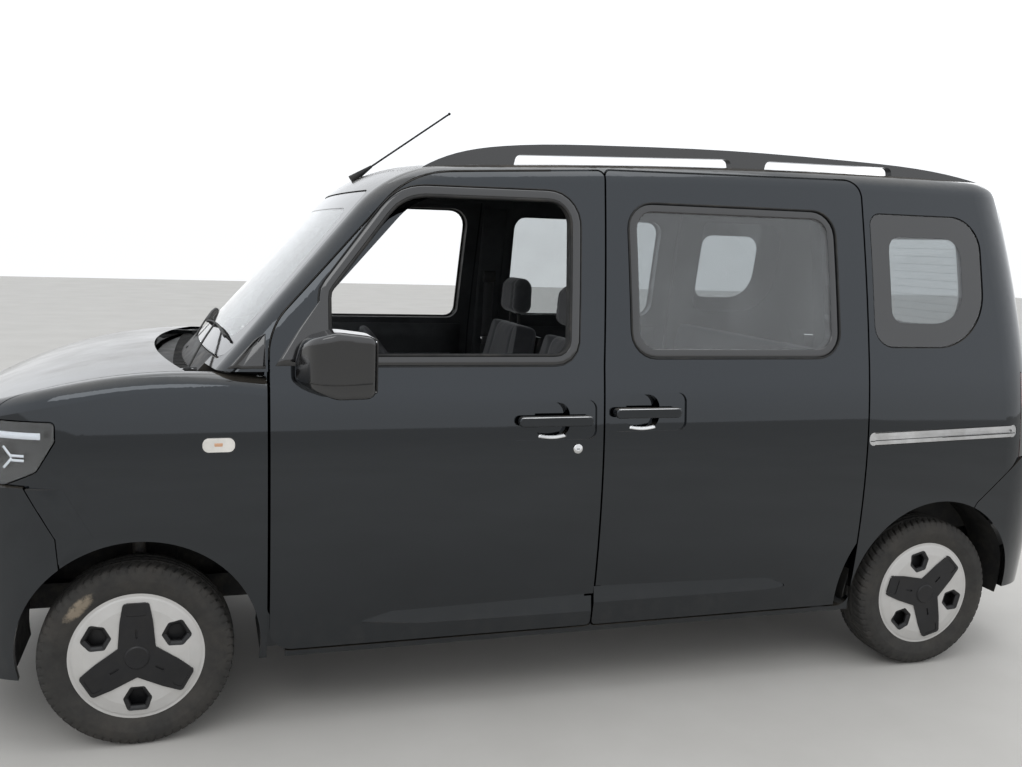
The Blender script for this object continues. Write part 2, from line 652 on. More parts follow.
def mirror_details(side, sign):
    """Mirror face and rim, the softened housing and the seam of its lower shell."""
    door = f"front_door_{side}"
    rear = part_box(f"mirror_{side}")[1].x
    near, far = sorted((sign * 0.874, sign * 0.976))
    soft_box(f"mirror_face_{side}", (-0.0065, near, 1.1), (-0.0015, far, 1.25), 0.002, MIRROR_GLASS, door,
             origin=Vector((rear, 0, 0)))
    ring = rounded([(near - 0.002, 1.098, 0.02), (near - 0.002, 1.252, 0.02), (far + 0.002, 1.252, 0.02),
                    (far + 0.002, 1.098, 0.02)], 0.01)
    strip(f"mirror_rim_{side}", [Vector((rear - 0.001, y, z)) for y, z in ring], Vector((1, 0, 0)),
          dome(0.006, 0.003), BLACK_PLASTIC, door, True, "black_plastic")
    housing = nodes[f"mirror_{side}"]
    remesh = housing.modifiers.new("even", "REMESH")
    remesh.mode, remesh.voxel_size, remesh.use_smooth_shade = "VOXEL", 0.0035, True
    softer = housing.modifiers.new("soft", "SMOOTH")
    softer.factor, softer.iterations = 0.5, 40
    skin = tree_of(f"mirror_{side}")
    seam = [side_hit(skin, x, 1.126 + 0.5 * (x - 0.57) ** 2, sign, 0.95)
            for x in np.linspace(0.485, 0.66, 18)]
    strip(f"mirror_seam_{side}", seam, Vector((0, sign, 0)), dome(0.004, 0.0016, 0.004), BLACK_PLASTIC, door,
          slot="black_plastic")


def door_locks(side, sign):
    """Lock cylinder with its keyway, and the bright inner lips and upper edges of the handles."""
    door = f"front_door_{side}"
    out = Vector((0, sign, 0))
    centre = place(1.356, sign * wall_y(0.888), 0.888)
    lathe(f"lock_{side}", centre, out,
          [(0, -0.001), (0.0162, -0.001), (0.0162, 0.0015), (0.0145, 0.003), (0, 0.0034)], CHROME, door, 40)
    soft_box(f"keyway_{side}", (-0.0055, -0.0008, -0.0014), (0.0055, 0.0008, 0.0014), 0.0006, BLACK_PLASTIC,
             door, origin=centre + out * 0.0034)
    for name, body, x, z, start, end in (("front", door, 1.269, 0.982, 1.156, 1.394),
                                         ("slide", "body", 1.585, 1.004, 1.484, 1.705)):
        lip = []
        for share in np.linspace(0, 1, 13):
            height = z - 0.0505 - 0.006 * math.sin(math.pi * share)
            lip.append(place(x + 0.092 * (share - 0.5), sign * (wall_y(height) - 0.01), height))
        strip(f"handle_lip_{name}_{side}", lip, Vector((0, sign, 0.3)), dome(0.013, 0.003, 0.002), CHROME,
              body)
        glint = [place(along, sign * 0.8537, z + 0.0135) for along in np.linspace(start, end, 14)]
        strip(f"handle_glint_{name}_{side}", glint, Vector((0, sign, 0.8)), dome(0.0022, 0.0008, 0.001),
              CHROME, body)


def headlamp_details(side, sign):
    """Bright faces of the light bar and the forked guide, the projector and the indicator in the headlamp."""
    housing = tree_of("headlamps")
    core = Vector((-1.52, sign * 0.36, 0.959))
    points, outs = [], []
    for angle in np.linspace(0.3, 1.44, 40):
        out = Vector((-math.cos(angle), sign * math.sin(angle), 0))
        hit = housing.ray_cast(core + out * 0.9, -out)[0]
        if hit is not None and hit.x - FRONT_AXLE < -0.236 and abs(hit.y) > 0.456:
            points.append(hit)
            outs.append(out)
    strip(f"light_bar_{side}", points, outs, bar(0.0095, -0.001, 0.0012), LED_WHITE)
    forks = (((-0.35, 0.923), (-0.326, 0.893)), ((-0.35, 0.86), (-0.326, 0.89)),
             ((-0.328, 0.8975), (-0.292, 0.898)), ((-0.328, 0.8845), (-0.292, 0.885)))
    for index, (start, end) in enumerate(forks):
        line = [side_hit(housing, *Vector(start).lerp(Vector(end), share), sign, 0.78)
                for share in np.linspace(0, 1, 8)]
        strip(f"light_fork_{index}_{side}", line, Vector((-0.4, sign, 0)), bar(0.0035, -0.001, 0.0015),
              LED_WHITE)
    front = end_hit(housing, sign * 0.56, 0.888, -1)[0]
    lathe(f"projector_{side}", front + Vector((0.004, 0, 0)), (-1, 0, 0),
          [(0.036, -0.002), (0.036, 0.006), (0.03, 0.007), (0.029, 0.004), (0.022, 0.012), (0.012, 0.017),
           (0, 0.018)], CHROME, steps=40)
    lathe(f"turn_lamp_{side}", front + Vector((0.034, sign * 0.105, -0.006)), (-1, sign * 0.45, 0),
          [(0.026, -0.004), (0.026, 0.004), (0.021, 0.006), (0.01, 0.01), (0, 0.011)], AMBER, steps=36)


def repeater_details(side, sign):
    """Amber bulb seen through the clear side repeater."""
    centre = place(0.237, sign * (wall_y(0.93) + 0.0035), 0.93)
    soft_box(f"repeater_bulb_{side}", (-0.013, -0.0028, -0.0065), (0.013, 0.0028, 0.0065), 0.0026, AMBER,
             origin=centre)


def door_seal(side, sign):
    """Rubber seal in the shut line of the front door, from the mirror up to the roof."""
    path = sorted(((x, z) for x, z in moved_out(FRONT_DOOR, 0.0033) if z > 1.17 and x < 1.3), key=sum)
    centres = [place(x, sign * (wall_y(z) - 0.016), z) for x, z in path]
    profile = [(-0.0026, -0.007), (0.0026, -0.007), (0.0026, 0.005), (0.001, 0.007), (-0.001, 0.007),
               (-0.0026, 0.005)]
    strip(f"door_seal_{side}", centres, Vector((0, sign, 0.25)), profile, TYRE_RUBBER)


def fender_fairing(side, sign):
    """Painted skin that brings the fender flush with the bumper along their seam."""
    bumper, fender = tree_of("front_bumper"), tree_of("fenders")
    columns, gap, length, least_reach = 14, 0.0035, 0.10, 0.77

    def reach(tree, x, z):
        hit = side_hit(tree, x, z, sign)
        return abs(hit.y) if hit is not None and abs(hit.y) > least_reach else None

    outer, inner = [], []
    for z in np.linspace(0.592, 0.812, 30):
        on_bumper = [x for x in np.arange(-0.34, -0.15, 0.001) if reach(bumper, x, z)]
        if not on_bumper:
            continue
        seam = max(on_bumper)
        edge = reach(bumper, seam - 0.004, z) or reach(bumper, seam, z)
        start = seam + gap
        arch = ARCH_X - math.sqrt(ARCH_RADIUS**2 - (z - ARCH_Z) ** 2) if z < 0.648 else 0.1
        stop = min(start + length, arch - 0.004)
        first = next((x for x in np.arange(start, stop, 0.001) if reach(fender, x, z)), None)
        if first is None or stop - start < 0.012:
            continue
        step = edge - reach(fender, first + 0.001, z)
        for share in np.linspace(0, 1, columns):
            x = start + (stop - start) * share
            skin = reach(fender, max(x, first + 0.001), z) or edge
            ease = (1 - smooth_step(share)) * step
            outer.append(place(x, sign * (skin + ease + 0.0004), z))
            inner.append(place(x, sign * (skin - 0.0008), z))
    made = plate(f"fender_fairing_{side}", outer, inner, len(outer) // columns, columns, PAINT, "body",
                 "paint_black")
    made.data.set_sharp_from_angle(angle=math.radians(40))


def arch_panels():
    """Aprons that close the engine bay and the rear body beside the wheels."""
    for side, sign in SIDES:
        for name, y, xs, zs in (("apron", 0.403, (-0.415, 0.4), (0.345, 0.69)),
                                ("rear_apron_0", 0.548, (2.98, 3.215), (0.3, 0.52)),
                                ("rear_apron_1", 0.548, (2.4, 2.56), (0.3, 0.52))):
            soft_box(f"{name}_{side}", (xs[0], sign * y, zs[0]), (xs[1], sign * (y + 0.003), zs[1]), 0.001,
                     MATERIALS["body_black"], segments=1)


def corner_fillers():
    """Painted fillers between the tail lamps and the rear bumper."""
    skin = tree_of("tailgate", "rear_bumper", "body_sides", "tail_lamps")
    for side, sign in SIDES:
        def locate(y, z):
            inner, outer = (end_hit(skin, sign * edge, z, 1)[0].x for edge in (0.69, 0.775))
            return Vector((inner + (outer - inner) * (y - 0.69) / 0.085 - 0.007, sign * y, z))

        patch(f"corner_filler_{side}", [(0.7115, 0.715), (0.744, 0.715), (0.744, 0.812), (0.7115, 0.812)],
              locate, 0.002, Vector((-1, 0, 0)), PAINT, "body", 8, 3, "paint_black")


def rear_wiper():
    """Wiper of the tailgate window, parked along its lower edge."""
    pane = tree_of("rear_glass", "tailgate")
    line, outs = zip(*(raised_hit(pane, y, 1.232, 1, 0.008) for y in np.linspace(-0.02, 0.33, 20)))
    strip("rear_wiper_blade", line, outs, bar(0.004, 0.003, 0.011, 0.003), BLACK_PLASTIC, "tailgate")
    strip("rear_wiper_rubber", line, outs, bar(0.0015, -0.006, 0.004, 0.001), BLACK_PLASTIC, "tailgate")
    foot, out = raised_hit(pane, 0.0, 1.15, 1, 0.012)
    end, _ = raised_hit(pane, 0.17, 1.238, 1, 0.016)
    strip("rear_wiper_arm", bowed(foot, end, out * 0.01), out, bar(0.006, -0.003, 0.004, 0.004),
          BLACK_PLASTIC, "tailgate")
    lathe("rear_wiper_pivot", foot - out * 0.013, out,
          [(0.022, 0), (0.022, 0.01), (0.017, 0.017), (0.01, 0.02), (0, 0.02)], BLACK_PLASTIC, "tailgate", 32)


def window_reveals():
    """Dull black channels in the reveals of the open front windows."""
    for side, _ in SIDES:
        repaint(f"front_door_{side}", BLACK_PLASTIC, lambda centre, normal: abs(normal.y) < 0.55
                and 0.53 < centre.x - FRONT_AXLE < 1.375 and 1.165 < centre.z < 1.705)


def on_pane(name, end, depth, lift):
    """A function that lays (y, z) on a pane seen from the front (end -1) or the back (end 1) of the car."""
    pane = tree_of(name)

    def locate(y, z):
        hit = end_hit(pane, y, z, end)[0]
        if hit is None:
            hit = pane.find_nearest(Vector((depth, y, z)))[0]
        return hit + Vector(lift)

    return locate


def screen_borders():
    """Black printed borders of the windscreen and the tailgate pane, with its heater wires."""
    on_screen = on_pane("windscreen", -1, -1.3, (-0.0006, 0, 0.0006))
    on_tail = on_pane("rear_glass", 1, 1.95, (0.0008, 0, 0.0002))
    outer = moved_out(WINDSCREEN, -0.002)
    ring_between("screen_border", outer, matched(SCREEN_CLEAR, outer), on_screen, "body", 6)
    ring_between("tail_border", moved_out(REAR_WINDOW, -0.002), moved_out(REAR_WINDOW, -0.036), on_tail,
                 "tailgate", 3)
    for index in range(11):
        z = 1.235 + index * 0.034
        half = 0.475 - (z - 1.2) * 0.04
        line = [on_tail(y, z) for y in np.linspace(-half, half, 24)]
        strip(f"heater_wire_{index}", line, Vector((1, 0, 0)), [(-0.0005, 0), (0.0005, 0), (0, 0.0004)],
              MATERIALS["cast_steel"], "tailgate")


def cover_finish(axle, side, sign):
    """Matt black centre of a wheel cover and black frames in its three holes."""
    name = f"wheel_{axle}_{side}"
    middle = sum(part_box(name), Vector()) / 2
    turns = [math.radians((REAR_TURN if axle == "rear" else 0.0) + step * 120) for step in range(3)]

    def dark(centre, normal):
        x, z = centre.x - middle.x, centre.z - middle.z
        radius, depth = math.hypot(x, z), COVER_FACE - centre.y * sign
        slot = any(abs(x * math.cos(turn) - z * math.sin(turn)) < 0.0045
                   and 0.058 < x * math.sin(turn) + z * math.cos(turn) < 0.09 for turn in turns)
        raised = depth < -0.0005 and radius < 0.172
        in_hole = 0.0 < depth and abs(normal.y) < 0.5 and 0.088 < radius < 0.17
        return slot or raised or in_hole or (depth > 0.017 and radius < 0.17)

    repaint(name, WHEEL_BLACK, dark)
    for index, turn in enumerate(turns):
        cosine, sine = math.cos(turn + math.pi / 3), math.sin(turn + math.pi / 3)
        vertices = [(middle.x + a * cosine + b * sine, sign * (COVER_FACE - depth),
                     middle.z - a * sine + b * cosine)
                    for out, depth in HOLE_SECTION for a, b in moved_out(COVER_HOLE, out)]
        faces = grid_faces(len(HOLE_SECTION), len(COVER_HOLE), True, True)
        mesh_piece(f"hole_frame_{axle}_{side}_{index}", vertices, faces, WHEEL_BLACK, name)


def wipers():
    """Windscreen wipers, parked along the foot of the screen."""
    screen = tree_of("windscreen", "body_sides", "roof_panel", "bulkhead")
    for name, pivot, tip in (("left", -0.6, -0.03), ("right", 0.0, 0.56)):
        line, outs = [], []
        for share in np.linspace(0, 1, 26):
            height = 1.214 + 0.016 * math.sin(math.pi * share)
            point, normal = raised_hit(screen, pivot + (tip - pivot) * share, height, -1, 0.01)
            line.append(point)
            outs.append(normal)
        strip(f"wiper_blade_{name}", line, outs, bar(0.004, 0.002, 0.01, 0.003), BLACK_PLASTIC,
              slot="black_plastic")
        strip(f"wiper_rubber_{name}", line, outs, bar(0.0015, -0.0095, 0.003, 0.001), TYRE_RUBBER)
        elbow, normal = raised_hit(screen, (pivot + tip) / 2, 1.226, -1, 0.018)
        foot = Vector((-1.238, pivot - 0.05, 1.128))
        strip(f"wiper_arm_{name}", bowed(foot, elbow, Vector((0, 0, 0.008))), normal,
              bar(0.005, -0.002, 0.003, 0.004), BLACK_PLASTIC, slot="black_plastic")
        lathe(f"wiper_pivot_{name}", foot - Vector((0, 0, 0.02)), (0, 0, 1),
              [(0.013, 0), (0.013, 0.022), (0.01, 0.028), (0, 0.03)], BLACK_PLASTIC, steps=24,
              slot="black_plastic")


def body_details():
    """Cowl ribs, reflectors, high brake lamp, tailgate pull, slide rail shadows and the intake backing."""
    for index in range(34):
        y = -0.66 + index * 0.04
        x = 0.118 - 0.0225 * (1 - (y / 0.75) ** 2)
        soft_box(f"cowl_rib_{index}", (x, y - 0.004, 1.1085), (x + 0.052, y + 0.004, 1.1125), 0.001,
                 BLACK_PLASTIC, segments=1)
    tail, rail = tree_of("rear_bumper", "tailgate"), tree_of("slide_rails")
    for side, sign in SIDES:
        strip(f"reflector_{side}", [end_hit(tail, sign * y, 0.56, 1)[0] for y in np.linspace(0.5, 0.63, 9)],
              Vector((1, sign * 0.25, 0)), dome(0.03, 0.004), CLEAR_RED)
    soft_box("brake_lamp_high", (-0.01, -0.15, -0.009), (0.004, 0.15, 0.009), 0.003, CLEAR_RED, "tailgate",
             origin=end_hit(tail, 0, 1.715, 1)[0])
    soft_box("tailgate_pull", (-0.004, -0.105, 0.004), (0.012, 0.105, 0.02), 0.004, BLACK_PLASTIC, "tailgate",
             slot="black_plastic", origin=end_hit(tail, 0, 0.842, 1)[0])
    for side, sign in SIDES:
        for index, (start, width) in enumerate(((0.9125, 0.003), (0.8835, 0.003), (0.8685, 0.0026))):
            hits = [side_hit(rail, x, start + 0.017 * (x - 2.462) / 0.648, sign)
                    for x in np.linspace(2.468, 3.1, 36)]
            line = [hit for hit in hits if hit is not None]
            strip(f"rail_shadow_{index}_{side}", line, Vector((0, sign, 0)), dome(width, 0.0006, 0.001),
                  BLACK_PLASTIC)
    repaint("tail_lamps", GLOSS_BLACK, lambda _, normal: abs(normal.y) > 0.9)
    line = [Vector((NOSE_X + 0.034 + y * y / (2 * BUMPER_CROWN), y, 0.382))
            for y in np.linspace(-0.43, 0.43, 40)]
    strip("intake_backing", line, [Vector((-1, point.y / BUMPER_CROWN, 0)) for point in line],
          bar(0.064, -0.002, 0.001), BLACK_PLASTIC, slot="black_plastic")


# Tyres
TYRE_SIDE = [(-0.059, 0.1785), (-0.066, 0.183), (-0.07, 0.196), (-0.076, 0.208), (-0.0815, 0.228),
             (-0.0822, 0.242), (-0.08, 0.256), (-0.0765, 0.266), (-0.0715, 0.2745), (-0.064, 0.2785),
             (-0.04, 0.2812)]
TYRE_SECTION = np.array(TYRE_SIDE + [(0, TYRE_RADIUS)] + [(-offset, r) for offset, r in TYRE_SIDE[::-1]])


def tyre_mesh(name, body):
    """Tyre with bulged sidewalls, rim protector, tread and shoulder blocks; it stands for the plain ring."""
    low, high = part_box(name)
    middle = (low + high) / 2
    worn = (high.z - low.z) / 2 - TYRE_RADIUS
    pitches, samples, width = 66, 8, 86
    tread_edge, shoulder_edge = 0.2755, 0.262
    groove_depth, block_depth, sipe_depth, notch_depth = 0.0065, 0.0055, 0.0028, 0.0035
    steps = pitches * samples
    along = np.concatenate([[0], np.cumsum(np.linalg.norm(np.diff(TYRE_SECTION, axis=0), axis=1))])
    fine = np.linspace(0, along[-1], width)
    offsets, radii = (np.interp(fine, along, TYRE_SECTION[:, column]) for column in (0, 1))
    kernel = np.array([1, 2, 1]) / 4
    for _ in range(2):
        offsets[1:-1] = np.convolve(offsets, kernel, "valid")
        radii[1:-1] = np.convolve(radii, kernel, "valid")
    step = np.arange(steps)[:, None]
    grid_r, grid_y = np.repeat(radii[None, :], steps, 0), np.repeat(offsets[None, :], steps, 0)
    across, phase = np.abs(grid_y), step % samples
    tread = grid_r > tread_edge
    grooves = ((across < 0.0035) | (np.abs(across - 0.026) < 0.0045)) * groove_depth
    slant = (phase + (across / 0.009).astype(int)) % samples
    blocks = ((across > 0.034) & (slant < 2)) * block_depth
    sipes = ((across > 0.006) & (across < 0.021) & (slant == 4)) * sipe_depth
    grid_r -= np.where(tread, np.maximum(np.maximum(grooves, blocks), sipes), 0)
    shoulder = (grid_r > shoulder_edge) & ~tread
    notches = (phase < 2) * notch_depth + (step // samples % 2 == 0) * (phase >= 2) * 0.0006
    grid_y -= np.sign(grid_y) * np.where(shoulder, notches, 0)
    ridges = ((grid_r > 0.233) & (grid_r < 0.235)) | ((grid_r > 0.253) & (grid_r < 0.2545))
    ribs = (grid_r > 0.236) & (grid_r < 0.252) & (phase % 2 == 0)
    grid_y += np.sign(grid_y) * (ridges * 0.0011 + ribs * 0.0004)
    angles = 2 * np.pi * step / steps
    xs = middle.x + (grid_r + worn) * np.sin(angles)
    zs = np.maximum(middle.z + (grid_r + worn) * np.cos(angles), 0.0004)
    vertices = np.stack([xs, middle.y + grid_y, zs], -1).reshape(-1, 3)
    faces = grid_faces(steps, width, True)
    for start in range(0, steps * width, width):
        following = (start + width) % (steps * width)
        faces.append((start, following, following + width - 1, start + width - 1))
    coat = MUDDY_TYRE if name == "tyre_front_left" else TYRE_RUBBER
    made = mesh_piece(f"{name}_worn", vertices.tolist(), faces, coat, body, "tyre_rubber")
    made.data.set_sharp_from_angle(angle=math.radians(35))
    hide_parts(name)


# Cabin
def rounded_grid(half, radius, cuts):
    """Vertices and faces of an evenly divided box with rounded edges."""
    shell = bmesh.new()
    bmesh.ops.create_cube(shell, size=2)
    bmesh.ops.subdivide_edges(shell, edges=shell.edges[:], cuts=cuts, use_grid_fill=True)
    points = np.array([vertex.co for vertex in shell.verts]) * half
    faces = [[vertex.index for vertex in face.verts] for face in shell.faces]
    shell.free()
    core = np.clip(points, -(half - radius), half - radius)
    out = points - core
    length = np.linalg.norm(out, axis=1)[:, None]
    length[length == 0] = 1
    return core + out * np.minimum(radius / length, 1), faces


def cushion(name, quad, shift, y_middle, width, bolster, crown, channels, stands_for, cuts=34, splits=(),
            taper=0.0):
    """Stuffed pad in a side-view quad (support start, support end, face end, face start), with its seams."""
    corners = [Vector((x + shift + FRONT_AXLE, z)) for x, z in quad]
    length = ((corners[1] - corners[0]).length + (corners[2] - corners[3]).length) / 2
    depth = ((corners[3] - corners[0]).length + (corners[2] - corners[1]).length) / 2
    half = np.array([length / 2, width / 2, depth / 2])
    points, faces = rounded_grid(half, half.min() * 0.9 if cuts < 30 else min(half.min() * 0.62, 0.045), cuts)
    u, v, w = (points / half).T
    flank = smooth_step((np.abs(v) - 0.58) / 0.3)
    lift = bolster * flank - crown * 0.4
    lift += crown * (1 - (v / 0.7) ** 2) * (np.abs(v) < 0.7) * (1 - u**4)
    for line in channels:
        lift -= 0.007 * np.exp(-(((u - line) * half[0]) / 0.006) ** 2) * (1 - flank)
    for line in splits:
        lift -= 0.01 * np.exp(-(((v - line) * half[1]) / 0.006) ** 2)
    if not splits:
        lift -= 0.006 * np.exp(-(((np.abs(v) - 0.6) * half[1]) / 0.005) ** 2)
    wrinkle = 0.0012 * np.sin(u * 17 + v * 5) * np.sin(v * 13 - u * 3)
    w_moved = w + (lift + wrinkle) / half[2] * smooth_step(w + 0.2)
    v_moved = v * (1 - 0.018 * (1 - w**2) - 0.02 * (1 - np.abs(u)))
    v_moved *= 1 - taper * smooth_step((u - 0.1) / 0.9) ** 2
    limit = 0.97
    share_u, share_w = (u * limit + 1) / 2, (np.clip(w_moved, -1, 1) * limit + 1) / 2
    support = np.outer(1 - share_u, corners[0]) + np.outer(share_u, corners[1])
    front = np.outer(1 - share_u, corners[3]) + np.outer(share_u, corners[2])
    flat = support * (1 - share_w)[:, None] + front * share_w[:, None]
    vertices = np.column_stack([flat[:, 0], y_middle + v_moved * half[1] * 0.985, flat[:, 1]])
    made = mesh_piece(name, vertices, faces, CLOTH, "body", "seat_fabric")
    smoother = made.modifiers.new("soft", "SUBSURF")
    smoother.levels = smoother.render_levels = 1
    if stands_for:
        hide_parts(stands_for)


# How far the solids stand behind the stations at which the cushions are drawn
SEAT_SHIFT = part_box("front_seats")[0].x - FRONT_AXLE - 0.794
BENCH_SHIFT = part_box("rear_bench")[0].x - FRONT_AXLE - 1.747


def seats():
    """Two front seats with headrests and recliner covers, and the rear bench."""
    for side, sign in SIDES:
        y = sign * 0.37
        cushion(f"seat_pad_{side}", [(0.8, 0.562), (1.166, 0.562), (1.166, 0.7), (0.792, 0.69)],
                SEAT_SHIFT, y, 0.488, 0.022, 0.016, (-0.25, 0.35), "front_seats")
        cushion(f"seat_back_{side}", [(1.292, 0.602), (1.398, 1.192), (1.302, 1.212), (1.172, 0.602)],
                SEAT_SHIFT, y, 0.468, 0.022, 0.014, (-0.1, 0.45), None, taper=0.14)
        cushion(f"headrest_{side}", [(1.389, 1.238), (1.392, 1.392), (1.312, 1.394), (1.3, 1.242)],
                SEAT_SHIFT, y, 0.256, 0.0, 0.01, (), None, 26, taper=0.2)
        for way in (-1, 1):
            hinge = place(1.205 + SEAT_SHIFT, y + way * 0.25, 0.59)
            lathe(f"seat_hinge_{side}_{way + 1}", hinge, (0, way, 0),
                  [(0.052, -0.012), (0.052, 0.002), (0.046, 0.006), (0.012, 0.007), (0, 0.007)], TRIM_GREY,
                  steps=36)
    cushion("bench_pad", [(1.752, 0.642), (2.176, 0.642), (2.176, 0.765), (1.747, 0.755)], BENCH_SHIFT, 0.0,
            1.256, 0.008, 0.018, (0.0,), "rear_bench", 40, (-0.2, 0.2))
    cushion("bench_back", [(2.292, 0.662), (2.373, 1.182), (2.292, 1.194), (2.182, 0.662)], BENCH_SHIFT, 0.0,
            1.236, 0.008, 0.016, (0.1,), None, 40, (-0.2, 0.2))


def door_trim(side, sign):
    """Inner cards of the doors with armrest, opener, pocket and speaker, and the belt on its pillar."""
    door = f"front_door_{side}"
    into = Vector((0, -sign, 0))
    for name, corners, inset, thickness, material, body, rows in (
            ("door_card", [(0.505, 0.375), (1.345, 0.36), (1.345, 1.16), (0.53, 1.16)], 0.0505, 0.012,
             TRIM_GREY, door, 12),
            ("door_card_pad", [(0.6, 0.72), (1.3, 0.74), (1.3, 1.02), (0.64, 1.02)], 0.063, 0.006,
             CLOTH, door, 12),
            ("slide_card", [(1.54, 0.36), (2.11, 0.7), (2.34, 0.76), (2.34, 1.15), (1.54, 1.15)], 0.0505,
             0.01, TRIM_GREY, "body", 12),
            ("pillar_trim", [(1.386, 0.38), (1.505, 0.38), (1.512, 1.69), (1.405, 1.69)], 0.1055, 0.01,
             TRIM_GREY, "body", 16)):
        def locate(x, z):
            return place(x, sign * (wall_y(z) - inset), z)

        patch(f"{name}_{side}", corners, locate, thickness, into, material, body, rows)
    for name, level, xs, insets, zs, radius, material, segments in (
            ("armrest", 0.74, (0.78, 1.25), (0.063, 0.118), (0.69, 0.735), 0.018, TRIM_GREY, 4),
            ("window_switch", 0.74, (0.82, 0.9), (0.075, 0.106), (0.734, 0.74), 0.002, GLOSS_BLACK, 3),
            ("door_opener", 0.93, (0.655, 0.745), (0.067, 0.085), (0.915, 0.945), 0.006, CHROME, 3),
            ("door_pocket", 0.43, (0.74, 1.28), (0.0585, 0.0915), (0.395, 0.505), 0.012, TRIM_GREY, 3)):
        first, second = ((x, sign * (wall_y(level) - inset), z) for x, inset, z in zip(xs, insets, zs))
        soft_box(f"{name}_{side}", first, second, radius, material, door, segments)
    lathe(f"speaker_{side}", place(0.615, sign * (wall_y(0.5) - 0.0622), 0.5), into,
          [(0.078, -0.002), (0.078, 0.004), (0.07, 0.006), (0.06, 0.0035), (0.045, 0.005), (0.02, 0.006),
           (0, 0.006)], BLACK_PLASTIC, door)
    ring = place(1.452, sign * (wall_y(1.37) - 0.122), 1.37)
    reel = place(1.44, sign * (wall_y(0.46) - 0.122), 0.46)
    belt = [ring.lerp(reel, share) for share in np.linspace(0, 1, 14)]
    strip(f"belt_{side}", belt, into, bar(0.023, 0, 0.0014), WEBBING)
    buckle = place(1.2 + SEAT_SHIFT, sign * 0.105, 0.66)
    for name, origin, first, second, radius, material in (
            ("belt_ring", ring, (-0.03, -0.007, -0.012), (0.03, 0.007, 0.04), 0.006, BLACK_PLASTIC),
            ("belt_tongue", belt[4], (-0.026, -0.004, -0.018), (0.026, 0.004, 0.018), 0.004, CHROME),
            ("belt_reel", reel, (-0.04, -0.016, -0.05), (0.04, 0.01, 0.03), 0.01, TRIM_GREY),
            ("buckle", buckle, (-0.016, -0.01, -0.045), (0.016, 0.01, 0.04), 0.005, BLACK_PLASTIC),
            ("buckle_stalk", buckle, (-0.008, -0.005, -0.25), (0.008, 0.005, -0.04), 0.003, BLACK_PLASTIC)):
        soft_box(f"{name}_{side}", first, second, radius, material, origin=origin)


def dashboard_details():
    """Instrument hood, screen, vents, glove box, console, gear knob and pedals."""
    tilt, pedal_tilt = (Matrix.Rotation(math.radians(angle), 3, "Y") for angle in (-18, 30))
    for name, first, second, radius, material, segments, turn in (
            ("cluster_hood", (0.5, -0.52, 1.12), (0.64, -0.22, 1.19), 0.03, DASH_PLASTIC, 4, None),
            ("cluster_glass", (0.632, -0.49, 1.126), (0.646, -0.25, 1.178), 0.006, SCREEN_GLASS, 3, tilt),
            ("screen", (0.622, -0.125, 1.06), (0.64, 0.125, 1.215), 0.008, BLACK_PLASTIC, 3, tilt),
            ("screen_face", (0.6385, -0.113, 1.07), (0.6425, 0.113, 1.205), 0.001, SCREEN_GLASS, 3, tilt),
            ("glove_box", (0.6, 0.22, 0.76), (0.64, 0.64, 0.94), 0.014, DASH_PLASTIC, 3, None),
            ("glove_latch", (0.636, 0.405, 0.9), (0.646, 0.455, 0.918), 0.003, CHROME, 3, None),
            ("console", (0.7, -0.105, 0.332), (1.13, 0.105, 0.52), 0.03, DASH_PLASTIC, 4, None)):
        soft_box(name, first, second, radius, material, segments=segments, turn=turn)
    for index, y in enumerate((-0.61, -0.17, 0.17, 0.61)):
        soft_box(f"vent_{index}", (0.628, y - 0.052, 0.975), (0.646, y + 0.052, 1.035), 0.008, BLACK_PLASTIC)
        for blade in range(5):
            z = 0.984 + blade * 0.0105
            soft_box(f"vent_{index}_blade_{blade}", (0.64, y - 0.044, z), (0.65, y + 0.044, z + 0.003), 0.001,
                     TRIM_GREY, segments=1)
    lathe("gear_knob", place(0.8, 0.0, 0.516), (0, 0, 1),
          [(0.032, 0), (0.034, 0.01), (0.03, 0.022), (0.012, 0.028), (0, 0.028)], CHROME, steps=40)
    for index, y in enumerate((-0.3, -0.4)):
        soft_box(f"pedal_{index}", (0.47, y - 0.03, 0.42), (0.485, y + 0.03, 0.5), 0.006, BLACK_PLASTIC,
                 turn=pedal_tilt)
        soft_box(f"pedal_arm_{index}", (0.4, y - 0.006, 0.48), (0.475, y + 0.006, 0.7), 0.004,
                 MATERIALS["steel_black"])


